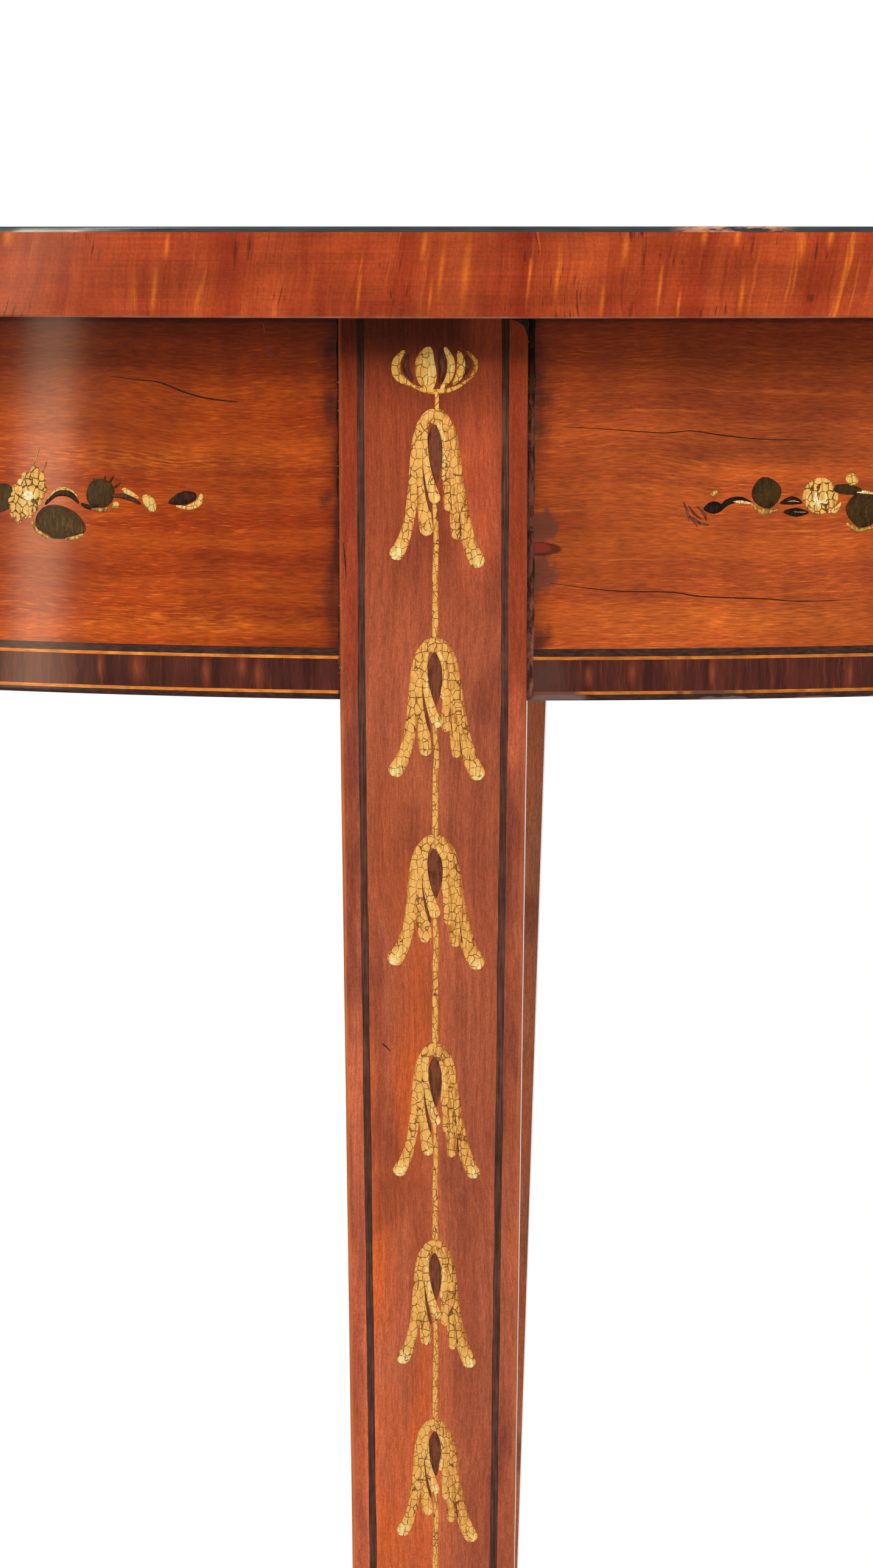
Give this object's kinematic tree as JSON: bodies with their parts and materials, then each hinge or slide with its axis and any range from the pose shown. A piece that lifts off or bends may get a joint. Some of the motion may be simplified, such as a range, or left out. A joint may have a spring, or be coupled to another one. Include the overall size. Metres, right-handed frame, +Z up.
{
  "type": "demilune table",
  "caption": "Half-round side table with a bowed veneered frieze, inlaid bands and painted husks on square tapered legs, standing flat against a wall.",
  "frame": {"origin": "on the floor under the middle of the table's bounding box", "axes": "+Z up, +X along the straight back to the viewer's right, +Y towards the wall, curve facing -Y"},
  "size_m": [0.9, 0.4499, 0.76],
  "materials": {
    "satinwood": "polished figured satinwood veneer, grain along the curve",
    "edge_satinwood": "polished cross-grained satinwood edge veneer",
    "leg_satinwood": "polished straight-grained satinwood with painted husks",
    "kingwood": "polished dark cross-grained banding",
    "ebony_string": "polished black string inlay",
    "boxwood_string": "polished pale string inlay",
    "pine": "bare planed softwood, darkened with age",
    "oak": "bare planed oak, darkened with age",
    "screw_steel": "dulled iron"
  },
  "bodies": {
    "root": {"top_core": "pine", "top_field_veneer": "satinwood", "top_field_strings": "boxwood_string", "top_crossband": "kingwood", "top_back_crossband": "kingwood", "top_edge_string": "ebony_string", "top_edge_veneer": "edge_satinwood", "front_leg": "leg_satinwood", "left_leg": "leg_satinwood", "right_leg": "leg_satinwood", "rear_centre_leg": "leg_satinwood", "front_leg_strings": "ebony_string", "left_leg_strings": "ebony_string", "right_leg_strings": "ebony_string", "back_rail": "oak", "medial_brace": "pine", "frieze_tenons": "oak", "corner_glue_blocks": "pine", "top_screw_blocks": "pine", "top_screws": "screw_steel", "rear_leg_screws": "screw_steel", "left_frieze_core": "pine", "left_frieze_veneer": "satinwood", "left_frieze_upper_string": "ebony_string", "left_frieze_light_strings": "boxwood_string", "left_frieze_crossband": "kingwood", "left_frieze_bottom_string": "ebony_string", "right_frieze_core": "pine", "right_frieze_veneer": "satinwood", "right_frieze_upper_string": "ebony_string", "right_frieze_light_strings": "boxwood_string", "right_frieze_crossband": "kingwood", "right_frieze_bottom_string": "ebony_string"}
  },
  "joints": []
}
